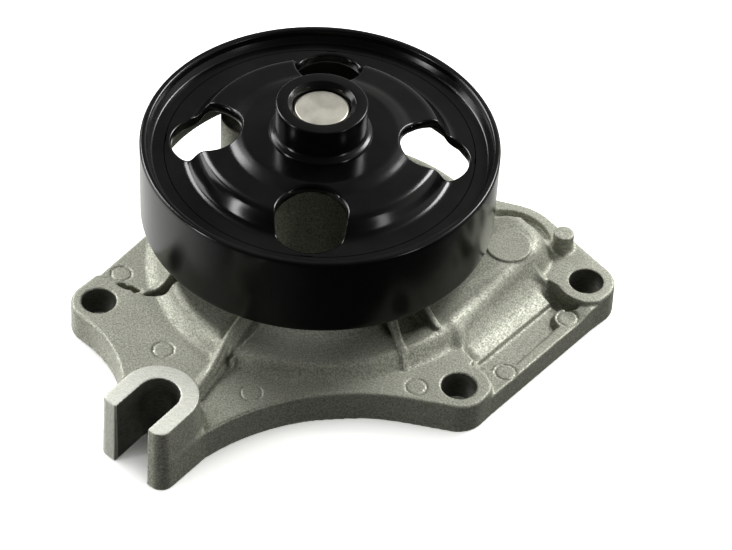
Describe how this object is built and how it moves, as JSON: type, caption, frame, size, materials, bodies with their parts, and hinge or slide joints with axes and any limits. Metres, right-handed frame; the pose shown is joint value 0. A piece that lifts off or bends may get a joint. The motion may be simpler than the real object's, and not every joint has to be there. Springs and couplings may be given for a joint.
{
  "type": "water pump",
  "caption": "Engine coolant pump: die-cast housing with bolt lobes and an open slot, smooth belt pulley with round windows on a bearing shaft, face seal and impeller.",
  "frame": {"origin": "centre of the bearing shaft's nose face, on the pump's axis, 62 mm above the gasket face", "axes": "+Z along the shaft away from the engine, +X along the housing's longest side, towards the lobe beside the pin; the open bolt slot is on the -X, -Y side"},
  "size_m": [0.1586, 0.1444, 0.064],
  "materials": {
    "cast_aluminium": "as cast, blasted, fine grain",
    "black_paint": "semi-gloss black dip paint",
    "turned_steel": "ground",
    "bearing_steel": "polished",
    "cage_plastic": "moulded nylon",
    "rubber": "matt",
    "carbon": "lapped carbon",
    "ceramic": "lapped ceramic",
    "brass": "pressed"
  },
  "bodies": {
    "housing": {"pump_body": "cast_aluminium", "bearing_outer_race": "bearing_steel", "bearing_seal_front": "rubber", "bearing_seal_rear": "rubber", "seal_case": "brass", "seal_bellows": "rubber", "seal_spring": "turned_steel", "seal_carbon_ring": "carbon"},
    "rotor": {"pulley": "black_paint", "pulley_hub": "black_paint", "bearing_shaft": "turned_steel", "slinger": "rubber", "seal_seat_cup": "rubber", "seal_seat_ring": "ceramic", "impeller": "cast_aluminium"},
    "front_cage": {"ball_cage_front": "cage_plastic", "ball_front_1": "bearing_steel", "ball_front_2": "bearing_steel", "ball_front_3": "bearing_steel", "ball_front_4": "bearing_steel", "ball_front_5": "bearing_steel", "ball_front_6": "bearing_steel", "ball_front_7": "bearing_steel", "ball_front_8": "bearing_steel"},
    "rear_cage": {"ball_cage_rear": "cage_plastic", "ball_rear_1": "bearing_steel", "ball_rear_2": "bearing_steel", "ball_rear_3": "bearing_steel", "ball_rear_4": "bearing_steel", "ball_rear_5": "bearing_steel", "ball_rear_6": "bearing_steel", "ball_rear_7": "bearing_steel", "ball_rear_8": "bearing_steel"}
  },
  "joints": [
    {"name": "rotor_spin", "type": "hinge", "parent": "housing", "child": "rotor", "pos_m": [0, 0, 0], "axis": [0, 0, 1], "continuous": true},
    {"name": "front_cage_spin", "type": "hinge", "parent": "housing", "child": "front_cage", "pos_m": [0, 0, -0.019], "axis": [0, 0, 1], "continuous": true},
    {"name": "rear_cage_spin", "type": "hinge", "parent": "housing", "child": "rear_cage", "pos_m": [0, 0, -0.031], "axis": [0, 0, 1], "continuous": true}
  ],
  "couplings": [
    {"joint": "front_cage_spin", "follows": "rotor_spin", "ratio": 0.3713},
    {"joint": "rear_cage_spin", "follows": "rotor_spin", "ratio": 0.3713}
  ]
}
